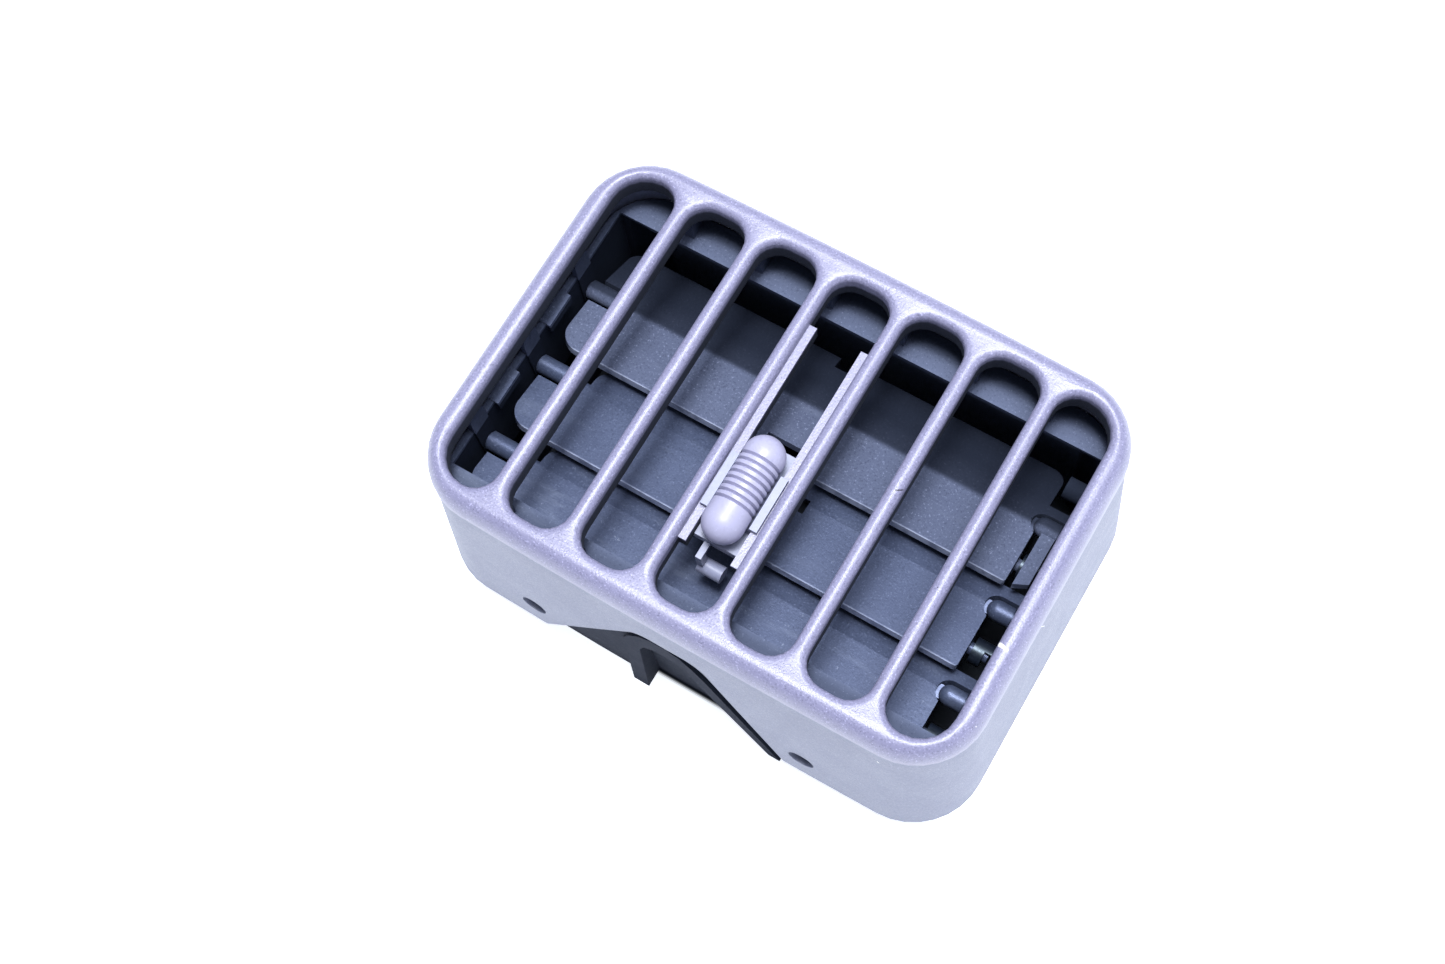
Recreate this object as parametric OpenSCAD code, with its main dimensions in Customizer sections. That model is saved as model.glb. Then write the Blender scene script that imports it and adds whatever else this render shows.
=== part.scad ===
// Dashboard air vent: a slotted bezel over a black vane housing with three linked closing vanes and a thumb slider.
// Millimetres. X runs along the row of slots, Y along the slots, Z out of the face. The rear of the housing is Z = 0.

/* [Face] */
// Length of the face along the row of slots
face_l = 110.2; // [95:0.1:140]
// Width of the face along the slots
face_w = 77.2; // [70:0.1:96]
// Corner radius of the face outline
corner_r = 13; // [9:0.5:17]
// How far the long edges bow out at their middle
edge_crown = 0.8; // [0:0.1:1.6]
// Depth of the rounding of the outer rim
rim_round = 4.6; // [3:0.1:6]
// Land between the end slots and the side of the face
side_land = 4.7; // [4:0.1:7]
// Land between the slot ends and the long edge of the face
end_land = 5; // [4.2:0.1:7]

/* [Bars and slots] */
// Width of the bars between the slots
bar_w = 2.94; // [2.4:0.02:3.6]
// Depth of the bars from crest to back
bar_deep = 5.5; // [4.4:0.1:5.6]
// Rounding of every slot edge at the front
lip_r = 1.3; // [0.8:0.05:1.4]
// Corner radius of the slots
slot_r = 4.5; // [3:0.1:5.4]
// Corner radius of the two end slots towards the face corners
end_slot_r = 6.7; // [5:0.1:7]
// How much narrower each end slot is than the others
end_slot_less = 0.63; // [0:0.01:1.5]

/* [Skirt] */
// Depth of the skirt behind the face
skirt_deep = 46; // [40:0.5:52]
// Outward slope of the skirt in degrees
skirt_flare = 3.9; // [1:0.1:5]
// Wall of the bezel moulding
skirt_wall = 2.4; // [1.8:0.1:2.6]
// How far the rim stands over the skirt
rim_over = 0.35; // [0.1:0.05:0.5]
// Diameter of the two fixing holes in the lower skirt wall
hole_d = 5.3; // [4:0.1:6.4]
// Distance between the two fixing holes
hole_gap = 59; // [52:0.5:66]
// Depth of the fixing holes behind the face
hole_deep = 37.8; // [34:0.1:41]
// Depth of the crown of the arched relief behind the face
relief_deep = 14.3; // [12:0.1:20]

/* [Housing] */
// Depth of the whole vent from bar crest to the rear of the housing
depth = 58; // [54:0.5:68]
// Depth of the housing front ledge behind the bar crests
ledge_deep = 12.2; // [11.8:0.1:13]
// Width of the ledge inside the long walls of the bezel
ledge_w = 6.4; // [5.4:0.1:7]
// Wall of the housing moulding
house_wall = 2.3; // [1.8:0.1:2.6]
// How far the rear collar draws in behind the skirt
collar_in = 1.2; // [0.4:0.1:2]

/* [Vanes] */
// Depth of the vane pivots behind the bar crests
pivot_deep = 20.3; // [20:0.1:22]
// Room that the row of three vanes leaves in the opening of the ledge
vane_room = 4.75; // [4:0.05:7]
// Thickness of the vane plates
vane_t = 1.7; // [1.2:0.1:1.9]
// Slope of the closed vanes in degrees
vane_tilt = 12.5; // [10:0.5:15]
// Further slope of the long flange of the upper vane
upper_crease = 16; // [8:0.5:22]
// Further slope of the short flanges of the other vanes
short_crease = 7; // [4:0.5:12]
// Radius of the vane pivot pins
pin_r = 1.5; // [1.2:0.05:1.6]
// Running clearance of pins in their bores
fit = 0.06; // [0.03:0.01:0.09]

/* [Slider] */
// Width of the thumb knob
knob_w = 7.9; // [7:0.1:8.3]
// Length of the thumb knob
knob_l = 21.4; // [18:0.1:22]
// Height of the knob above the bar crests
knob_up = 3.7; // [3.2:0.1:4.4]
// Number of grooves round the knob
groove_n = 8; // [6:1:9]
// Distance from one groove to the next
groove_pitch = 1.28; // [1:0.02:1.4]
// Closed position of the middle of the knob along its slot
knob_y = -10.3; // [-11:0.1:-9]

/* [Hidden] */
fn_bore = 48;
gap = 0.3;
slots = 7;
half_l = face_l / 2;
half_w = face_w / 2 - edge_crown;
field_x = half_l - side_land;
field_y = face_w / 2 - end_land;
pitch = (2 * field_x + bar_w + 2 * end_slot_less) / slots;
slot_w = pitch - bar_w;
flare = tan(skirt_flare);
rim_in = 2.8;
rim_z = -rim_round - 0.4;
wall_x = field_x + 1;
skirt_in_x = half_l - skirt_wall;
skirt_in_y = half_w - skirt_wall;
open_y = skirt_in_y - ledge_w;
ledge_t = 1.2;
cheek_low = 33;
post_w = bar_w - 0.5;

// Places and sizes of the vanes
vane_pitch = (2 * open_y - vane_room) / 3;
mid_y = -2.3;
pivot_y = [mid_y + vane_pitch, mid_y, mid_y - vane_pitch];
plate_left = -(wall_x - 1.9);
plate_right = wall_x - 6.1;
low_flange = vane_pitch - 3.75;
last_flange = low_flange - 3;
short_flange = 5;
short_x = -40;
barrel_r = pin_r + 0.4;
barrel_left = plate_left + 6;
barrel_right = plate_right + 1.2;
barrel_end = wall_x - 2;
trench = 2.6;
notch_x = 5.5;
notch_deep = 4.2;
link_r = 7.3;
link_pin_r = 1.2;
hub_r = 2.5;
link_drop = vane_t / 2 + gap + hub_r;
crank_r = 10;
crank_turn = 37.5;
crank_t = 1.5;
cross_r = 1.25;
crank_y = mid_y - crank_r * sin(crank_turn);

// Places and sizes of the slider
knob_r = knob_w / 2;
knob_z = knob_up - knob_r;
groove_up = 1;
rail_in = 4.5;
rail_front = -2.2;
run = 0.15;
plate_front = -bar_deep + 1.05;
plate_back = -bar_deep - run - 1.1;
plate_half = knob_l / 2 - 0.7;
cradle_half = 5.5;
post_x = 2;
post_y = 4;
bar_drop = 12.05;
bar_r = 1.6;
bar_half = 2.4;

// Shared forms
function arc(cx, cy, r, a, n) = [for (i = [0:n]) [cx + r * cos(a + 90 * i / n), cy + r * sin(a + 90 * i / n)]];
function side(x0, x1, y, m) = [for (i = [1:m]) [x0 + (x1 - x0) * i / (m + 1), y]];
function outline(hx, hy, r, n, m) = concat(
    arc(hx - r, hy - r, r, 0, n), side(hx - r, r - hx, hy, m), arc(r - hx, hy - r, r, 90, n),
    arc(r - hx, r - hy, r, 180, n), side(r - hx, hx - r, -hy, m), arc(hx - r, r - hy, r, 270, n));
function ring(hx, hy, r, z, crown = 0, n = 8, m = 5) = [for (p = outline(hx, hy, r, n, m))
    [p[0], p[1] + sign(p[1]) * crown * (1 - pow(p[0] / hx, 2)), z]];
function slot_ring(x0, x1, hy, ra, rb, grow, z, n) = [for (p = concat(
    arc(x1 - rb, hy - rb, rb + grow, 0, n), arc(x0 + ra, hy - ra, ra + grow, 90, n),
    arc(x0 + ra, ra - hy, ra + grow, 180, n), arc(x1 - rb, rb - hy, rb + grow, 270, n))) [p[0], p[1], z]];

module loft(rings) {
    n = len(rings[0]);
    k = len(rings);
    polyhedron(points = [for (r = rings) for (p = r) p], faces = concat(
        [[for (i = [0:n - 1]) i]], [[for (i = [n - 1:-1:0]) (k - 1) * n + i]],
        [for (j = [0:k - 2]) for (i = [0:n - 1]) [j * n + i, (j + 1) * n + i, (j + 1) * n + (i + 1) % n]],
        [for (j = [0:k - 2]) for (i = [0:n - 1]) [j * n + i, (j + 1) * n + (i + 1) % n, j * n + (i + 1) % n]]),
        convexity = 4);
}

// A solid in the YZ plane run along X
module along_x(x0, x1) {
    translate([x0, 0, 0]) rotate([90, 0, 90]) linear_extrude(x1 - x0) children();
}

// A profile in the XZ plane run along Y
module along_y(y0, y1) {
    translate([0, y1, 0]) rotate([90, 0, 0]) linear_extrude(y1 - y0) children();
}

module rod(x0, x1, y, z, r) {
    translate([x0, y, z]) rotate([0, 90, 0]) cylinder(h = x1 - x0, r = r, $fn = fn_bore);
}

module box(x0, x1, y0, y1, z0, z1) {
    translate([x0, y0, z0]) cube([x1 - x0, y1 - y0, z1 - z0]);
}

// Bezel moulding
module bezel_form() {
    rim = [for (a = [0:15:90]) [rim_in * (1 - cos(a)), rim_z * (1 - sin(a))]];
    rear = -skirt_deep;
    out = (rim_z - rear) * flare;
    loft(concat([ring(half_l + out, half_w + out, corner_r + 1, rear, edge_crown),
        ring(half_l - rim_over, half_w - rim_over, corner_r - rim_over, rim_z - 0.45, edge_crown)],
        [for (p = rim) ring(half_l - p[0], half_w - p[0], corner_r - p[0], p[1], edge_crown)]));
}

module bezel_hollow() {
    front = -bar_deep;
    rear = -skirt_deep - 1;
    out = (front - 1 - rear) * flare;
    loft([ring(skirt_in_x + out, skirt_in_y + out, corner_r - 1, rear, edge_crown),
          ring(skirt_in_x, skirt_in_y, corner_r - 3, front - 1, edge_crown),
          ring(skirt_in_x - 1, skirt_in_y - 1, corner_r - 4, front, edge_crown)]);
}

module slot_cut(i) {
    c = (i - (slots - 1) / 2) * pitch;
    x0 = i == 0 ? -field_x : c - slot_w / 2;
    x1 = i == slots - 1 ? field_x : c + slot_w / 2;
    ra = i == 0 ? end_slot_r : slot_r;
    rb = i == slots - 1 ? end_slot_r : slot_r;
    loft(concat([slot_ring(x0, x1, field_y, ra, rb, 0, -bar_deep - 2, 5)],
        [for (a = [0:30:90]) slot_ring(x0, x1, field_y, ra, rb, lip_r * (1 - cos(a)), -lip_r * (1 - sin(a)), 5)],
        [slot_ring(x0, x1, field_y, ra, rb, lip_r, 2, 5)]));
}

// Arched relief in the lower skirt wall, seen along Y
module relief_2d() {
    foot_l = -29.5;
    foot_r = 24;
    top = -relief_deep;
    low = -skirt_deep - 4;
    r = 6;
    al = atan2(28.4, 21);
    ar = atan2(28.2, 15.5);
    cl = foot_l + (r + (top - r + skirt_deep) * cos(al)) / sin(al);
    cr = foot_r - (r + (top - r + skirt_deep) * cos(ar)) / sin(ar);
    polygon(concat([[foot_l - 4 / tan(al), low]],
        [for (a = [180 - (90 - al):-6:90]) [cl + r * cos(a), top - r + r * sin(a)]],
        [for (a = [90:-6:90 - ar]) [cr + r * cos(a), top - r + r * sin(a)]],
        [[foot_r + 4 / tan(ar), low]]));
}

module bezel() {
    rail_y = field_y - 10.9;
    color([0.80, 0.80, 0.86]) translate([0, 0, depth]) difference() {
        union() {
            difference() {
                bezel_form();
                bezel_hollow();
                for (i = [0:slots - 1]) slot_cut(i);
            }
            // guide rails on the two middle bars
            for (s = [0, 1]) mirror([s, 0, 0])
                box(rail_in, slot_w / 2 + 0.2, -rail_y, rail_y, -bar_deep, rail_front);
        }
        for (x = [-0.5, 0.5]) translate([x * hole_gap - 1.8, -face_w / 2 + 6, -hole_deep])
            rotate([90, 0, 0]) cylinder(h = 16, r = hole_d / 2, $fn = fn_bore);
        along_y(-face_w / 2 - 8, -face_w / 2 + 6) relief_2d();
    }
}

// Vane housing: it follows the hollow of the bezel and draws in behind the skirt
function hollow_out(z) = (-z - bar_deep - 1) * flare;
function hollow_r(z) = corner_r - 3 + 2 * (-z - bar_deep - 1) / (skirt_deep - bar_deep);
function collar(z, taper) = taper * max(0, -z - skirt_deep) / (depth - skirt_deep);
function house_ring(grow, z, taper) = ring(
    skirt_in_x + hollow_out(z) - gap - grow - collar(z, taper),
    skirt_in_y + hollow_out(z) - gap - grow - collar(z, taper),
    hollow_r(z) - gap - grow * 0.6, z, edge_crown, 6, 3);

module housing_form(grow, z0, z1, taper = collar_in) {
    loft([for (z = z0 < -skirt_deep ? [z0, -skirt_deep, z1] : [z0, z1]) house_ring(grow, z, taper)]);
}

// Outline of the arched lug on the housing floor, and of the hollow inside it
module arch_2d() {
    polygon([[-11.6, -depth], [-11.6, -31], [-10.2, -27.5], [-7.6, -24.2], [-4.8, -22.6], [-1.5, -22.3],
        [1, -23.4], [3.6, -26], [6.3, -30], [6.3 + (depth - 30) * 0.56, -depth]]);
}

module arch_hole_2d() {
    polygon([[-8.1, -depth - 2], [-8.1, -33], [-7, -29.8], [-4.5, -28], [-0.5, -27.6], [2, -29.2],
        [4.4, -34], [4.4 + (depth - 32) * 0.63, -depth - 2]]);
}

module vane_housing() {
    rear = -depth;
    floor_y = -face_w / 2;
    color([0.13, 0.14, 0.16]) translate([0, 0, depth]) difference() {
        union() {
            difference() {
                housing_form(0, rear, -ledge_deep);
                housing_form(house_wall, rear - 1, -ledge_deep - ledge_t);
                box(-wall_x, wall_x, -open_y, open_y, -cheek_low - 1, 1);
            }
            // thick side cheeks that carry the vane pins
            intersection() {
                housing_form(0.5, -cheek_low - 1, -ledge_deep - 0.5);
                for (s = [0, 1]) mirror([s, 0, 0])
                    box(wall_x, wall_x + 6, -open_y + 1.5, open_y - 2, -cheek_low, -ledge_deep - 0.6);
            }
            // arched lug that stands in the relief of the skirt
            intersection() {
                along_y(floor_y - 6, floor_y + 5) arch_2d();
                housing_form(-0.8, rear, -ledge_deep - 1, 0);
            }
            // floor behind the arch
            intersection() {
                housing_form(1, rear, -ledge_deep - 10);
                box(-14, 24, floor_y - 8, floor_y + 5.6, rear, -ledge_deep - 10);
            }
            // posts that carry the bezel behind the ends of its bars
            for (k = [-2.5:1:2.5]) for (s = [0, 1]) mirror([0, s, 0])
                box(k * pitch - post_w / 2, k * pitch + post_w / 2, open_y + 2, field_y + 0.7,
                    -ledge_deep - 0.5, -bar_deep);
            // stop boss on the right cheek
            rod(wall_x - 5, wall_x + 0.5, mid_y + 26.2, -pivot_deep + 1.3, 2.1);
            // location blocks on the left ledge, between the vanes
            for (k = [-0.5, 0.5]) translate([-wall_x, mid_y + k * vane_pitch - 0.5, -ledge_deep])
                box(-1.4, 1, -3.6, 3.6, -2.6, 0.3);
            // round-topped towers behind the pins on the left side
            for (y = pivot_y) {
                box(-wall_x - 0.8, -wall_x + 0.4, y - 2.1, y + 2.1, -pivot_deep - 2, -bar_deep - 2.8);
                rod(-wall_x - 0.8, -wall_x + 0.4, y, -bar_deep - 2.8, 2.1);
            }
        }
        for (y = pivot_y) {
            rod(-wall_x - 8, -wall_x + 2, y, -pivot_deep, pin_r + fit);
            rod(wall_x - 2, wall_x + 8, y, -pivot_deep, pin_r + fit);
        }
        // hollow inside the arch
        intersection() {
            along_y(floor_y - 8, floor_y + 2.6) arch_hole_2d();
            housing_form(-8, rear - 2, -20, 0);
        }
    }
}

// Vanes
module plate_2d(x0, x1, l, r0, r1) {
    difference() {
        translate([x0, 0]) square([x1 - x0, l]);
        if (r0 > 0) translate([x0, l - r0]) difference() {
            translate([-1, 0]) square([1 + r0, r0 + 1]);
            translate([r0, 0]) circle(r = r0, $fn = 48);
        }
        if (r1 > 0) translate([x1 - r1, l - r1]) difference() {
            square([r1 + 1, r1 + 1]);
            circle(r = r1, $fn = 48);
        }
    }
}

// Trenches that part the barrels from the plates
module trench_2d() {
    translate([plate_left - 1, -trench - 0.3]) square([6.5, 2 * trench + 0.6]);
    translate([barrel_right, 0]) circle(r = trench, $fn = 48);
    translate([barrel_right, -trench]) square([8, 2 * trench]);
}

// One flange on its own slope
module flange(slope) {
    rotate([-slope, 0, 0]) translate([0, 0, -vane_t / 2]) linear_extrude(vane_t) difference() {
        children();
        trench_2d();
    }
}

// Lower flange, upper flange, barrels, pivot pins and link pin of one vane about its own pivot
module vane(low, up, up_x0, r_up, crease) {
    flange(vane_tilt) mirror([0, 1]) plate_2d(plate_left, plate_right, low, 4.4, 0.6);
    flange(vane_tilt + crease) {
        plate_2d(up_x0, plate_right, up, r_up, r_up);
        translate([plate_right - 4, 0]) square([wall_x - 0.9 - plate_right + 4, short_flange]);
    }
    rod(plate_left + 5, barrel_right - trench - 0.25, 0, 0, vane_t / 2);
    // barrels and pins
    rod(-wall_x + 0.7, barrel_left, 0, 0, barrel_r);
    translate([barrel_left, 0, 0]) sphere(r = barrel_r, $fn = 32);
    rod(barrel_right, barrel_end, 0, 0, barrel_r);
    translate([barrel_right, 0, 0]) sphere(r = barrel_r, $fn = 32);
    box(barrel_right - trench - 1.5, barrel_right + 1, -1.3, 1.3, -2.4, -0.5);
    rod(-wall_x - 1.6, -wall_x + 1, 0, 0, pin_r);
    rod(barrel_end - 0.5, wall_x + 1.6, 0, 0, pin_r);
    // lug behind the plate with the pin of the link bar
    rotate([-vane_tilt, 0, 0]) {
        box(plate_right - 1.7, plate_right, -link_r - 2, -link_r + 2, -link_drop, 0);
        rod(plate_right - 1.7, plate_right, -link_r, -link_drop, 2);
        rod(plate_right - 1, wall_x - 2.4, -link_r, -link_drop, link_pin_r);
    }
}

// Notch in the free edge that lets the slider pass
module slider_notch(low) {
    rotate([-vane_tilt, 0, 0]) translate([-notch_x, -low - 1, -4]) cube([2 * notch_x, notch_deep + 1, 8]);
}

module vane_upper() {
    up = (open_y + 4.9 - pivot_y[0]) * 0.785;
    arm_l = plate_right + 1.35;
    arm_r = barrel_end - 0.1;
    arm_low = low_flange - 0.3;
    color([0.17, 0.18, 0.20]) translate([0, pivot_y[0], depth - pivot_deep]) {
        difference() {
            vane(low_flange, up, plate_left, 3, upper_crease);
            slider_notch(low_flange);
            rotate([-vane_tilt - upper_crease, 0, 0]) translate([-3, up - 3, -4]) cube([6, 4, 8]);
        }
        // flat arm beside the slit at the right-hand end
        rotate([-vane_tilt, 0, 0]) translate([0, 0, -vane_t / 2]) linear_extrude(vane_t)
            polygon([[arm_l, -0.6], [arm_r, -0.6], [arm_r, -arm_low + 1.4], [arm_l, -arm_low]]);
    }
}

module vane_middle() {
    ear_in = 2.3;
    ear_r = cross_r + 0.85;
    color([0.17, 0.18, 0.20]) translate([0, pivot_y[1], depth - pivot_deep]) {
        difference() {
            vane(low_flange, short_flange, short_x, 3, short_crease);
            slider_notch(low_flange);
            // two small windows at the crease
            for (s = [0, 1]) mirror([s, 0, 0]) box(5.2, 7.5, -1.9, 1.2, -2, 2);
        }
        // crank ears and cross pin that the slider fork drives
        for (s = [0, 1]) mirror([s, 0, 0]) along_x(ear_in, ear_in + crank_t) {
            rotate(90 + crank_turn) translate([0, -ear_r]) square([crank_r, 2 * ear_r]);
            rotate(90 + crank_turn) translate([crank_r, 0]) circle(r = ear_r, $fn = 48);
            rotate(180 - vane_tilt) square([9, 2.5]);
        }
        rotate([crank_turn, 0, 0]) rod(-ear_in - 0.7, ear_in + 0.7, 0, crank_r, cross_r);
    }
}

module vane_lower() {
    color([0.17, 0.18, 0.20]) translate([0, pivot_y[2], depth - pivot_deep])
        vane(last_flange, short_flange, short_x, 3, short_crease);
}

// Link bar at the right-hand ends of the vanes: its web runs in front of the pivots, beside the cheek
module link_bar() {
    x0 = plate_right + 0.7;
    x1 = wall_x - 0.5;
    web_x = barrel_end + gap;
    dy = -link_r * cos(vane_tilt) - link_drop * sin(vane_tilt);
    dz = link_r * sin(vane_tilt) - link_drop * cos(vane_tilt);
    z = -pivot_deep + dz;
    web_z = -pivot_deep + pin_r + 0.35;
    web_t = 1.5;
    arm = 2.4;
    color([0.08, 0.09, 0.10]) translate([0, 0, depth]) difference() {
        union() {
            for (y = pivot_y) translate([0, y + dy, 0]) {
                rod(x0, wall_x - 3.2, 0, z, hub_r);
                intersection() {
                    rod(x0, x1, 0, z, hub_r);
                    box(x0, x1, 0, hub_r, z - hub_r, z + hub_r);
                }
                box(web_x, x1, 0, arm, z, web_z + web_t);
            }
            box(web_x, x1, pivot_y[2] + dy, pivot_y[0] + dy + arm, web_z, web_z + web_t);
        }
        for (y = pivot_y) rod(x0 - 1, wall_x - 2, y + dy, z, link_pin_r + fit);
    }
}

// Slider
module slider_carriage() {
    y0 = knob_y - plate_half;
    y1 = knob_y + plate_half + 0.6;
    web = rail_in - 0.1;
    wing = slot_w / 2 - 0.35;
    fork_in = cross_r + 0.3;
    fork_t = 1.5;
    zc = -pivot_deep + crank_r * cos(crank_turn);
    color([0.74, 0.75, 0.82]) translate([0, 0, depth]) {
        difference() {
            union() {
                box(-web, web, y0, y1, plate_back, plate_front);
                box(-web - 0.6, web + 0.6, y0, y1, plate_back, -bar_deep - run);
                // cradle with two wings that ride on the rails
                box(-web, web, knob_y - cradle_half, knob_y + cradle_half, plate_back, -1);
                box(-wing, wing, knob_y - cradle_half, knob_y + cradle_half, rail_front + run, -1);
            }
            translate([0, y0 - 1, knob_z]) rotate([-90, 0, 0])
                cylinder(h = y1 - y0 + 2, r = knob_r + gap, $fn = fn_bore);
            // lightening groove down the back of the plate
            box(-2.6, 2.6, knob_y + 7, y1 - 1.6, plate_back - 1, plate_back + 0.7);
        }
        // post that the knob is pressed on
        box(-post_x, post_x, knob_y - post_y, knob_y + post_y, plate_back + 0.6, -1.2);
        // fork that straddles the cross pin
        for (y = [crank_y - fork_in - fork_t, crank_y + fork_in])
            box(-ear_gap(), ear_gap(), y, y + fork_t, zc - cross_r, plate_back + 0.5);
        box(-ear_gap(), ear_gap(), crank_y - fork_in - fork_t, crank_y + fork_in + fork_t,
            plate_back - 0.8, plate_back + 0.5);
        // neck and cross bar below the plate
        box(-bar_half, -bar_half + 1.2, y0 - 2.5 - 0.8, y0 + 1.5, plate_back, plate_back + 1);
        box(-bar_half, -bar_half + 1.2, y0 - 2.5 - 0.8, y0 - 2.5 + 0.8, -bar_drop, plate_back + 1);
        rod(-bar_half, bar_half, y0 - 2.5, -bar_drop, bar_r);
    }
}

function ear_gap() = 1.9;

// Capsule with grooves round its middle, turned about the line it slides on
module thumb_knob() {
    half = knob_l / 2 - knob_r;
    rib_r = knob_r - 0.1;
    groove_w = 0.62;
    color([0.72, 0.72, 0.82]) translate([0, knob_y, depth + knob_z]) difference() {
        rotate([-90, 0, 0]) rotate_extrude($fn = 96) polygon(concat(
            [for (a = [0:6:90]) [knob_r * sin(a), -half - knob_r * cos(a)]],
            [for (i = [0:groove_n - 1]) for (k = [-1, 0, 1])
                [rib_r - (k == 0 ? 0.62 : 0), groove_up + (i - (groove_n - 1) / 2) * groove_pitch + k * groove_w / 2]],
            [for (a = [90:-6:0]) [knob_r * sin(a), half + knob_r * cos(a)]]));
        // socket for the post of the carriage
        box(-post_x - 0.05, post_x + 0.05, -post_y - 0.05, post_y + 0.05, -knob_r - 1, -1.1 - knob_z);
    }
}

bezel();
vane_housing();
vane_upper();
vane_middle();
vane_lower();
link_bar();
slider_carriage();
thumb_knob();
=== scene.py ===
# Dashboard air vent: pale grained bezel, black vane housing, three linked vanes and a ribbed thumb slider.
import bpy
import bmesh
import math
from mathutils import Matrix, Vector


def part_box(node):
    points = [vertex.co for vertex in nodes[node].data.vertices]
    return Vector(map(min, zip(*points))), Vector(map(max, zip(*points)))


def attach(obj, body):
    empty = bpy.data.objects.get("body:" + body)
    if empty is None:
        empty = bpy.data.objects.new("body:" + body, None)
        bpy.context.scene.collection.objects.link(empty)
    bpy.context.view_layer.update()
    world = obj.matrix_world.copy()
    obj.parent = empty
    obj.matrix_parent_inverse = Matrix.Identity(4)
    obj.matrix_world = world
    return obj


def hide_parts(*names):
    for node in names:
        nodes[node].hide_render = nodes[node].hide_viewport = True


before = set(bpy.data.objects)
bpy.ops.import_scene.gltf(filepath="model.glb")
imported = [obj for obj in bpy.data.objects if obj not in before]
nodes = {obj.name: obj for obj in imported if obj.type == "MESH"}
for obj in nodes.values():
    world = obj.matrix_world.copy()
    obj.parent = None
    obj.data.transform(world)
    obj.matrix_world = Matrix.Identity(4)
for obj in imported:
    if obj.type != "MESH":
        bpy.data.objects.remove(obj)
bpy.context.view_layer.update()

MM = 0.001
DEPTH = 58.0
PITCH = 15.0
PIVOT_Z = DEPTH - 20.3
GLOW = 0.85


def clear_selection():
    for o in bpy.context.selected_objects:
        o.select_set(False)
    bpy.context.view_layer.objects.active = None


clear_selection()


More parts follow.
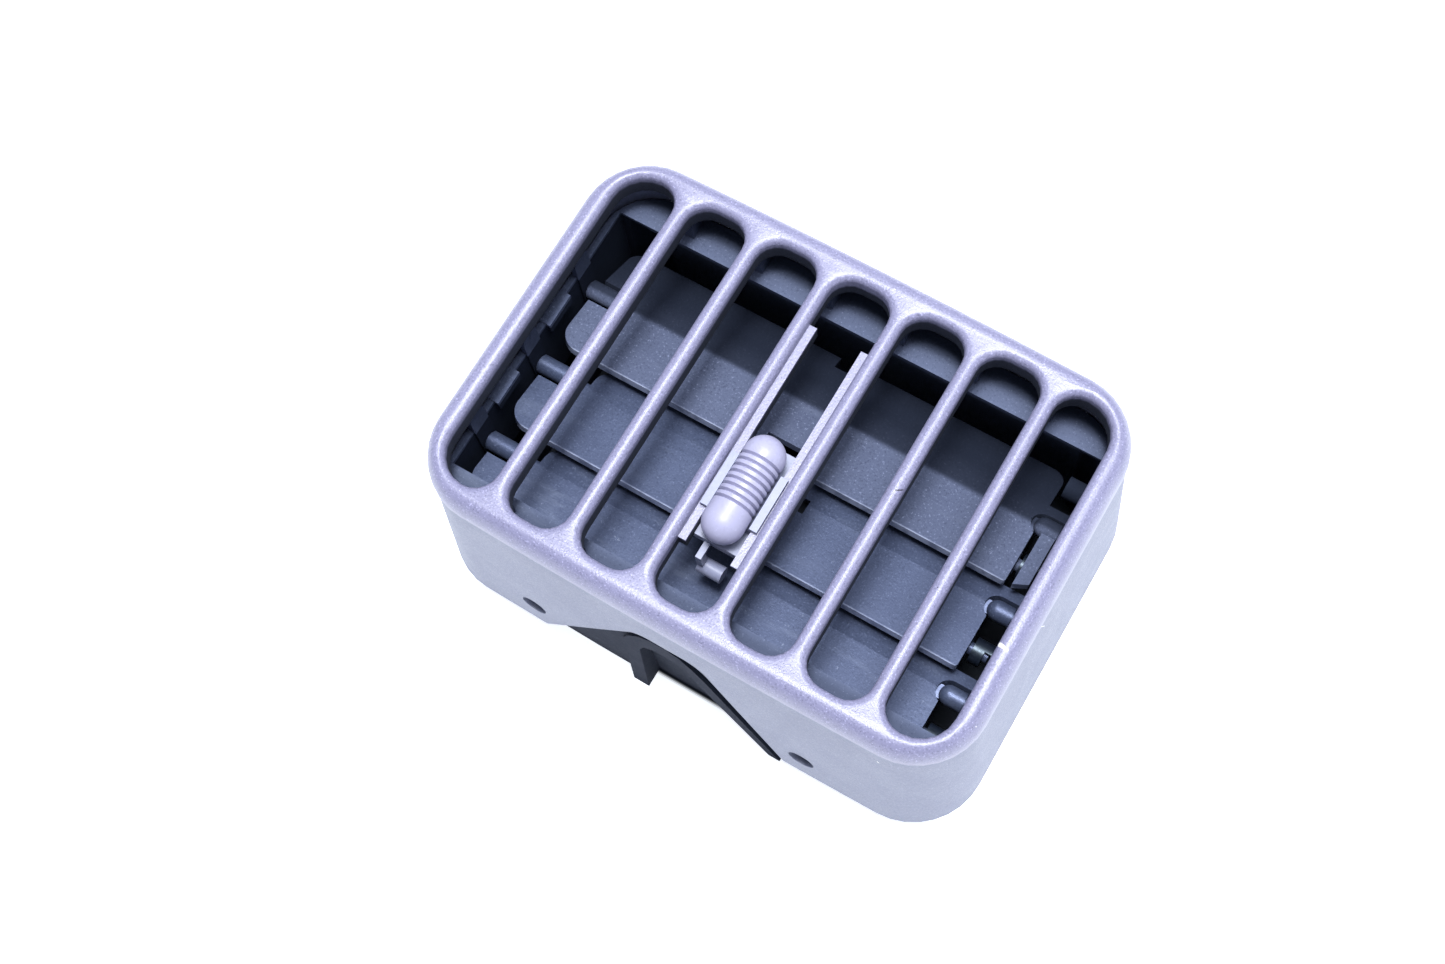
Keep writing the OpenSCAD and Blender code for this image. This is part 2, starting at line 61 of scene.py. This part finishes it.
# Node helpers for the procedural materials. Places are in millimetres from the middle of the face.
class Look:
    def __init__(self, name):
        self.mat = bpy.data.materials.new(name)
        self.mat.use_nodes = True
        self.tree = self.mat.node_tree
        self.shader = self.tree.nodes["Principled BSDF"]
        self.place = self.tree.nodes.new("ShaderNodeTexCoord").outputs["Object"]
        scaled = self.vector("SCALE", self.place, scale=1000.0)
        self.point = self.vector("SUBTRACT", scaled, (0, 0, DEPTH))
        split = self.tree.nodes.new("ShaderNodeSeparateXYZ")
        self.link(self.point, split.inputs[0])
        self.x, self.y, self.z = split.outputs

    def link(self, source, target):
        self.tree.links.new(source, target)

    def put(self, socket, value):
        if isinstance(value, bpy.types.NodeSocket):
            self.link(value, socket)
        else:
            socket.default_value = value

    def vector(self, kind, a, b=(0, 0, 0), scale=None):
        node = self.tree.nodes.new("ShaderNodeVectorMath")
        node.operation = kind
        self.put(node.inputs[0], a)
        self.put(node.inputs[1], b)
        if scale is not None:
            self.put(node.inputs["Scale"], scale)
        return node.outputs["Value"] if kind in ("DOT_PRODUCT", "LENGTH") else node.outputs["Vector"]

    def noise(self, scale, detail=2.0, rough=0.5, stretch=None, offset=None):
        node = self.tree.nodes.new("ShaderNodeTexNoise")
        node.inputs["Scale"].default_value = scale
        node.inputs["Detail"].default_value = detail
        node.inputs["Roughness"].default_value = rough
        source = self.place
        if stretch or offset:
            shift = self.tree.nodes.new("ShaderNodeMapping")
            shift.inputs["Scale"].default_value = stretch or (1, 1, 1)
            shift.inputs["Location"].default_value = offset or (0, 0, 0)
            self.link(source, shift.inputs["Vector"])
            source = shift.outputs["Vector"]
        self.link(source, node.inputs["Vector"])
        return node.outputs["Fac"]

    def math(self, kind, a, b=0.0, c=0.0, clamp=False):
        node = self.tree.nodes.new("ShaderNodeMath")
        node.operation = kind
        node.use_clamp = clamp
        for socket, value in zip(node.inputs, (a, b, c)):
            self.put(socket, value)
        return node.outputs[0]

    def span(self, value, a, b, low=0.0, high=1.0, smooth=True):
        node = self.tree.nodes.new("ShaderNodeMapRange")
        node.interpolation_type = "SMOOTHSTEP" if smooth else "LINEAR"
        self.put(node.inputs["Value"], value)
        for key, number in (("From Min", a), ("From Max", b), ("To Min", low), ("To Max", high)):
            node.inputs[key].default_value = number
        return node.outputs["Result"]

    def times(self, *values):
        out = values[0]
        for value in values[1:]:
            out = self.math("MULTIPLY", out, value)
        return out

    def most(self, *values):
        out = values[0]
        for value in values[1:]:
            out = self.math("MAXIMUM", out, value)
        return out

    def inside(self, value, edge, soft):
        # One where the distance from the middle is less than the edge
        return self.span(self.math("ABSOLUTE", value), edge - soft, edge + soft, 1.0, 0.0)

    def rounded(self, half_x, half_y, radius, soft):
        # One within a rectangle with rounded corners
        over_x = self.math("MAXIMUM", self.math("SUBTRACT", self.math("ABSOLUTE", self.x), half_x - radius), 0.0)
        over_y = self.math("MAXIMUM", self.math("SUBTRACT", self.math("ABSOLUTE", self.y), half_y - radius), 0.0)
        away = self.math("SQRT", self.math("ADD", self.times(over_x, over_x), self.times(over_y, over_y)))
        return self.span(away, radius - soft, radius + soft, 1.0, 0.0)

    def mark(self, a, b, width, soft=0.5, rag=0.25):
        # A scratch or nick from a to b, with a ragged edge
        shake = self.vector("SCALE", self.vector("SUBTRACT", self.wobble(), (0.5, 0.5, 0.5)), scale=rag)
        reach = self.vector("SUBTRACT", self.vector("ADD", self.point, shake), a)
        way = Vector(b) - Vector(a)
        size = max(way.length_squared, 0.0001)
        along = self.math("MULTIPLY", self.vector("DOT_PRODUCT", reach, tuple(way)), 1.0 / size, clamp=True)
        away = self.vector("SUBTRACT", reach, self.vector("SCALE", tuple(way), scale=along))
        return self.span(self.vector("LENGTH", away), width * soft, width, 1.0, 0.0)

    def wobble(self):
        if not hasattr(self, "shaken"):
            node = self.tree.nodes.new("ShaderNodeTexNoise")
            node.inputs["Scale"].default_value = 1100
            node.inputs["Detail"].default_value = 2
            self.link(self.place, node.inputs["Vector"])
            self.shaken = node.outputs["Color"]
        return self.shaken

    def mix(self, fac, a, b):
        node = self.tree.nodes.new("ShaderNodeMix")
        node.data_type = "RGBA"
        self.put(node.inputs[0], fac)
        for socket, value in ((node.inputs[6], a), (node.inputs[7], b)):
            self.put(socket, value if isinstance(value, bpy.types.NodeSocket) else (*value, 1.0))
        return node.outputs[2]

    def bump(self, height, depth, strength=1.0):
        node = self.tree.nodes.new("ShaderNodeBump")
        node.inputs["Distance"].default_value = depth
        node.inputs["Strength"].default_value = strength
        self.link(height, node.inputs["Height"])
        self.link(node.outputs["Normal"], self.shader.inputs["Normal"])

    def finish(self, colour, rough, sheen=0.5, tint=(1.0, 1.0, 1.0)):
        self.put(self.shader.inputs["Base Color"], colour)
        self.put(self.shader.inputs["Roughness"], rough)
        self.put(self.shader.inputs["Specular IOR Level"], sheen)
        self.put(self.shader.inputs["Specular Tint"], (*tint, 1.0))
        return self.mat


def grained(k, dark, pale, grain, speck):
    # Moulded plastic: a faint cloud, fine grain and scattered darker and lighter grains
    fine = k.noise(grain, 2, 0.7)
    base = k.mix(k.span(k.noise(38, 2, 0.5), 0.3, 0.7), dark, pale)
    darker = tuple(c * (1 - 0.35 * speck) for c in dark)
    lighter = tuple(min(1.0, c * (1 + 0.8 * speck) + 0.03 * speck) for c in pale)
    base = k.mix(k.span(fine, 0.30, 0.46, 1.0, 0.0), base, darker)
    base = k.mix(k.span(fine, 0.58, 0.74), base, lighter)
    return base, fine


def moulding(name, dark, pale, rough, grain, depth, speck=0.5, sheen=0.5, dust=0.0, tint=(1.0, 1.0, 1.0), shade=None, rub_and_highlight=None):
    k = Look(name)
    base, fine = grained(k, dark, pale, grain, speck)
    painted_shade = shade(k) if shade else 0.0
    if shade:
        # Painted shade: the masked places are mixed towards deep black, and dust stays off them
        base = k.mix(k.math("MULTIPLY", painted_shade, 0.92), base, (0.004, 0.006, 0.011))
    if dust:
        # Grey dust in scattered specks and faint wiped streaks
        specks = k.span(k.noise(900, 3, 0.65, None, (0.2, 0.4, 0.1)), 0.66, 0.74)
        streaks = k.span(k.noise(160, 4, 0.65, (0.35, 1.6, 1), (0.1, 0.3, 0.2)), 0.52, 0.76, 0.0, 0.5)
        settled = k.times(k.math("MULTIPLY", k.most(specks, streaks), dust), k.span(k.y, -14, -30, 0.6, 1.7))
        base = k.mix(k.times(settled, k.math("SUBTRACT", 1.0, painted_shade)), base, (0.20, 0.23, 0.30))
    if rub_and_highlight:
        # Paler lower edge: wear and a painted highlight
        base = k.mix(rub_and_highlight(k), base, (0.26, 0.29, 0.39))
    worn = k.noise(140, 4, 0.7, (1, 1, 1), (0.31, 0.17, 0.05))
    value = k.math("ADD", k.span(worn, 0.3, 0.7, rough - 0.03, rough + 0.04), k.span(fine, 0.3, 0.7, -0.04, 0.04))
    value = k.math("ADD", value, k.math("MULTIPLY", painted_shade, 0.35))
    k.bump(k.math("ADD", fine, k.math("MULTIPLY", k.noise(grain * 0.35, 2), 0.6)), depth)
    return k.finish(base, value, sheen, tint)


def bezel_plastic():
    k = Look("bezel_plastic")
    face, fine = grained(k, (0.196, 0.193, 0.298), (0.209, 0.206, 0.314), 2900, 0.95)
    skirt, same = grained(k, (0.143, 0.157, 0.232), (0.154, 0.169, 0.245), 2600, 0.5)
    base = k.mix(k.span(k.z, -5.5, -5.0, 1.0, 0.0), face, skirt)
    # The slot walls go near black with depth below the face, later on the two rails
    field = k.rounded(51.9, 35.2, 9.5, 0.4)
    rail = k.inside(k.x, 6.12, 0.04)
    deep = k.math("ADD", k.times(k.span(k.z, -2.7, -1.5, 1.0, 0.0), k.math("SUBTRACT", 1.0, rail)),
                  k.times(k.span(k.z, -3.4, -2.35, 1.0, 0.0), rail))
    wall_darkening = k.times(field, deep)
    base = k.mix(k.math("MULTIPLY", wall_darkening, 0.96), base, (0.006, 0.011, 0.024))
    # Scratches, nicks and rubbed spots
    dark = k.most(
        k.mark((21.7, 2.0, -0.4), (22.9, 2.5, 0.0), 0.2), k.mark((22.9, 2.5, 0.0), (23.9, 3.3, -0.6), 0.17),
        k.mark((24.2, 1.8, -0.9), (24.3, 1.2, -0.9), 0.16),
        k.mark((36.5, 14.5, -0.1), (36.6, 14.4, -0.1), 0.20), k.mark((37.2, -9.2, -0.1), (37.2, -9.1, -0.1), 0.17),
        k.mark((54.5, -25.2, -1.9), (54.7, -25.8, -2.0), 0.16))
    base = k.mix(k.math("MULTIPLY", dark, 0.95), base, (0.02, 0.018, 0.03))
    faint = k.most(k.mark((21.8, -12.0, -0.2), (22.35, -12.75, -0.1), 0.10), k.mark((22.35, -12.75, -0.1), (22.6, -14.7, -0.1), 0.12))
    base = k.mix(k.math("MULTIPLY", faint, 0.45), base, (0.08, 0.08, 0.11))
    light = k.most(
        k.mark((50.4, -12.5, -0.7), (51.3, -12.7, -0.3), 0.5), k.mark((51.3, -12.7, -0.3), (52.1, -12.9, -0.1), 0.42),
        k.mark((53.4, -26.8, -1.0), (54.1, -26.4, -1.2), 0.1), k.mark((38.1, -39.9, -36.4), (38.4, -39.9, -36.6), 0.3),
        k.mark((44.5, -37.8, -5.6), (44.9, -37.8, -5.9), 0.22), k.mark((42.1, -38.1, -10.3), (42.3, -38.1, -10.6), 0.2),
        k.mark((56.1, -2.2, -25.9), (57.0, 1.2, -38.2), 0.14), k.mark((54.8, -4.9, -6.8), (55.2, -3.0, -11.9), 0.12))
    base = k.mix(light, base, (0.86, 0.84, 0.78))
    value = k.math("ADD", k.span(k.noise(140, 4, 0.7), 0.3, 0.7, 0.33, 0.39), k.span(fine, 0.3, 0.7, -0.06, 0.06))
    value = k.math("ADD", value, k.math("ADD", k.math("MULTIPLY", wall_darkening, 0.4), k.span(k.z, -6.0, -4.5, 0.14, 0.0)))
    k.bump(k.math("ADD", fine, k.math("MULTIPLY", k.noise(950, 2), 0.6)), 0.00006)
    return k.finish(base, value, 0.65)


bezel_look = bezel_plastic()
knob_look = moulding("knob_plastic", (0.315, 0.310, 0.435), (0.34, 0.335, 0.465), 0.40, 1800, 0.000012, 0.12, 0.5)
rail_look = moulding("slider_plastic", (0.220, 0.235, 0.335), (0.250, 0.265, 0.370), 0.42, 1400, 0.00002, 0.2, 0.5)
BLUE = (0.57, 0.66, 1.0)


def housing_painted_shade(k):
    # Painted shade: dark inside the lower relief, on the cheeks behind the ledge, and on the ledge towards its top and
    # bottom ends
    low = k.span(k.y, -34.9, -34.3, 1.0, 0.0)
    cheek = k.times(k.span(k.z, -13.2, -12.6, 1.0, 0.0), k.span(k.math("ABSOLUTE", k.x), 44.5, 46.0))
    ledge = k.times(k.math("ADD", k.span(k.y, -31.0, -28.0, 0.4, 0.0), k.span(k.y, 31.2, 34.0, 0.0, 0.75)), k.span(k.z, -14.0, -13.0))
    return k.most(low, cheek, ledge)


def edge_rub_and_highlight(name):
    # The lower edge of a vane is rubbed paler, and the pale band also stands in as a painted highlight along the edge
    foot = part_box(name)[0][1] / MM

    def rub_and_highlight(k):
        return k.times(k.span(k.y, foot + 0.35, foot + 0.75, 1.0, 0.0), k.span(k.noise(300, 3, 0.6), 0.35, 0.6, 0.35, 1.0))
    return rub_and_highlight


def flange_painted_shadow(k):
    # Painted shadow: the flange of the upper vane goes dark from its crease on
    return k.math("ADD", k.span(k.y, 14.2, 15.6, 0.0, 0.9), k.span(k.y, 16, 22, 0.0, 0.1))


VANE = ((0.032, 0.041, 0.072), (0.044, 0.056, 0.095), 0.42, 2600, 0.00003, 0.6, 0.95, 0.35, BLUE)
house_look = moulding("housing_plastic", (0.066, 0.080, 0.127), (0.081, 0.097, 0.151), 0.52, 1900, 0.00003, 0.6, 0.3, 0.3,
                      BLUE, housing_painted_shade)
upper_look = moulding("upper_vane_plastic", (0.070, 0.083, 0.131), (0.083, 0.098, 0.152), 0.46, 2200, 0.00003, 0.8, 0.22, 0.3, BLUE,
                      flange_painted_shadow, edge_rub_and_highlight("vane_upper"))
middle_look = moulding("middle_vane_plastic", *VANE, None, edge_rub_and_highlight("vane_middle"))
lower_look = moulding("lower_vane_plastic", *VANE, None, edge_rub_and_highlight("vane_lower"))
link_look = moulding("link_plastic", (0.004, 0.006, 0.011), (0.007, 0.010, 0.018), 0.36, 1500, 0.000004, 0.3, 0.55, 0.0, (0.7, 0.85, 1.0))

LOOKS = {"bezel": bezel_look, "vane_housing": house_look, "vane_upper": upper_look, "vane_middle": middle_look,
         "vane_lower": lower_look, "link_bar": link_look, "slider_carriage": rail_look, "thumb_knob": knob_look}

for name, look in LOOKS.items():
    node = nodes[name]
    node.data.materials.clear()
    node.data.materials.append(look)


def copy_of(name, new_name):
    # A welded copy of a CAD piece that stands for it
    source = nodes[name]
    mesh = source.data.copy()
    o = bpy.data.objects.new(new_name, mesh)
    bpy.context.scene.collection.objects.link(o)
    clear_selection()
    o.select_set(True)
    bpy.context.view_layer.objects.active = o
    bpy.ops.mesh.customdata_custom_splitnormals_clear()
    bm = bmesh.new()
    bm.from_mesh(mesh)
    bmesh.ops.remove_doubles(bm, verts=bm.verts, dist=0.00001)
    bmesh.ops.dissolve_limit(bm, angle_limit=math.radians(0.05), verts=bm.verts, edges=bm.edges)
    bm.to_mesh(mesh)
    bm.free()
    return o


def smooth(o, degrees):
    clear_selection()
    o.select_set(True)
    bpy.context.view_layer.objects.active = o
    bpy.ops.object.shade_smooth_by_angle(angle=math.radians(degrees))
    o.select_set(False)


def flatten(o):
    # Broad faces keep their own direction, and the small rounds blend into them
    normals = o.modifiers.new("normals", "WEIGHTED_NORMAL")
    normals.keep_sharp = True
    normals.weight = 100
    bpy.context.view_layer.objects.active = o
    bpy.ops.object.modifier_apply(modifier="normals")


def soften(o, width):
    # A small round on every moulded edge catches the light
    edges = o.modifiers.new("edges", "BEVEL")
    edges.width = width * MM
    edges.segments = 3
    edges.limit_method = "ANGLE"
    edges.angle_limit = math.radians(35)
    edges.use_clamp_overlap = True
    bpy.context.view_layer.objects.active = o
    bpy.ops.object.modifier_apply(modifier="edges")


# Floor, backdrop, lights and camera
def camera_only(tree, plain, shown):
    # What the camera sees directly differs from what lights the part
    path = tree.nodes.new("ShaderNodeLightPath")
    either = tree.nodes.new("ShaderNodeMixShader")
    tree.links.new(path.outputs["Is Camera Ray"], either.inputs["Fac"])
    tree.links.new(plain, either.inputs[1])
    tree.links.new(shown, either.inputs[2])
    return either.outputs["Shader"]


def stage():
    bpy.ops.mesh.primitive_plane_add(size=6, location=(0, 0, -0.0002))
    floor = bpy.context.active_object
    floor.name = "floor"
    # Painted shade: the floor is bright all round the part and darkened under its open rear
    k = Look("floor_white")
    painted_shade_under = k.rounded(53.5, 36.8, 11, 0.5)
    k.finish(k.mix(painted_shade_under, (0.90, 0.92, 0.96), (0.03, 0.035, 0.045)), 0.9, 0.0)
    k.put(k.shader.inputs["Emission Color"], (0.93, 0.96, 1.0, 1))
    # Full white for the camera, a softer glow for what the part sees of it
    seen = k.tree.nodes.new("ShaderNodeLightPath").outputs["Is Camera Ray"]
    glow = k.span(seen, 0.0, 1.0, 0.55, GLOW, False)
    k.put(k.shader.inputs["Emission Strength"], k.math("MULTIPLY", k.math("SUBTRACT", 1.0, painted_shade_under), glow))
    # From below the floor is clear, so that the open rear can be seen
    clear = k.tree.nodes.new("ShaderNodeBsdfTransparent")
    side = k.tree.nodes.new("ShaderNodeMixShader")
    k.link(k.tree.nodes.new("ShaderNodeNewGeometry").outputs["Backfacing"], side.inputs["Fac"])
    k.link(k.shader.outputs[0], side.inputs[1])
    k.link(clear.outputs[0], side.inputs[2])
    k.link(side.outputs[0], k.tree.nodes["Material Output"].inputs["Surface"])
    floor.data.materials.append(k.mat)
    clear_selection()


def lamp(name, place, target, size, power, colour):
    data = bpy.data.lights.new(name, "AREA")
    data.shape = "RECTANGLE"
    data.size, data.size_y = size
    data.energy = power
    data.color = colour
    o = bpy.data.objects.new(name, data)
    o.location = place
    o.rotation_euler = (Vector(target) - Vector(place)).to_track_quat("-Z", "Y").to_euler()
    bpy.context.scene.collection.objects.link(o)


stage()
lamp("softbox", (0.04, 0.16, 1.02), (0, 0, 0.02), (0.62, 0.58), 12.0, (0.88, 0.92, 1.0))
lamp("spot_panel", (0.00, 0.04, 1.00), (0, 0, 0.02), (0.20, 0.20), 9.0, (0.96, 0.97, 1.0))
lamp("right_fill", (0.85, -0.05, 0.12), (0, 0, 0.02), (0.5, 0.3), 1.0, (0.90, 0.93, 1.0))

world = bpy.data.worlds.new("studio")
bpy.context.scene.world = world
world.use_nodes = True
wt = world.node_tree
sky = wt.nodes["Background"]
sky.inputs["Color"].default_value = (0.80, 0.86, 1.0, 1)
sky.inputs["Strength"].default_value = 0.45
seen = wt.nodes.new("ShaderNodeBackground")
seen.inputs["Color"].default_value = (1, 1, 1, 1)
seen.inputs["Strength"].default_value = 1.0
wt.links.new(camera_only(wt, sky.outputs[0], seen.outputs[0]), wt.nodes["World Output"].inputs["Surface"])

camera_data = bpy.data.cameras.new("camera")
camera_data.sensor_width = 36.0
camera_data.lens = 1800.0 / 1445.0 * 36.0
camera_data.clip_start = 0.01
camera_data.clip_end = 20.0
camera = bpy.data.objects.new("camera", camera_data)
bpy.context.scene.collection.objects.link(camera)
right = Vector((0.8562, 0.5122, -0.0677))
up = Vector((-0.4673, 0.8236, 0.3213))
back = Vector((0.2203, -0.2434, 0.9446))
place = Vector((64.50, -86.54, 293.13 + DEPTH)) * MM
turn = Matrix((right, up, back)).transposed().to_4x4()
camera.matrix_world = Matrix.Translation(place) @ turn
bpy.context.scene.camera = camera

scene = bpy.context.scene
scene.view_settings.view_transform = "Standard"
scene.view_settings.look = "None"
scene.view_settings.exposure = 0.0
scene.view_settings.gamma = 1.0

# Each moulding: a cleaned copy with smooth curves and, on the dark ones and the carriage, softened edges
PIECES = (("bezel", "bezel_shell", "frame", "pale_plastic", 32, 0), ("thumb_knob", "knob_shell", "slider", "knob_plastic", 35, 0),
          ("vane_housing", "housing_shell", "frame", "dark_plastic", 32, 0.35),
          ("vane_upper", "upper_plate", "upper_vane", "vane_plastic", 32, 0.3),
          ("vane_middle", "middle_plate", "middle_vane", "vane_plastic", 32, 0.3),
          ("vane_lower", "lower_plate", "lower_vane", "vane_plastic", 32, 0.3),
          ("link_bar", "link_strip", "link", "black_plastic", 32, 0.12),
          ("slider_carriage", "carriage_shell", "slider", "pale_plastic", 32, 0.2))
for name, new_name, body, finish, angle, edge in PIECES:
    piece = copy_of(name, new_name)
    if edge:
        soften(piece, edge)
    smooth(piece, angle)
    if edge:
        flatten(piece)
    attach(piece, body)
    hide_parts(name)
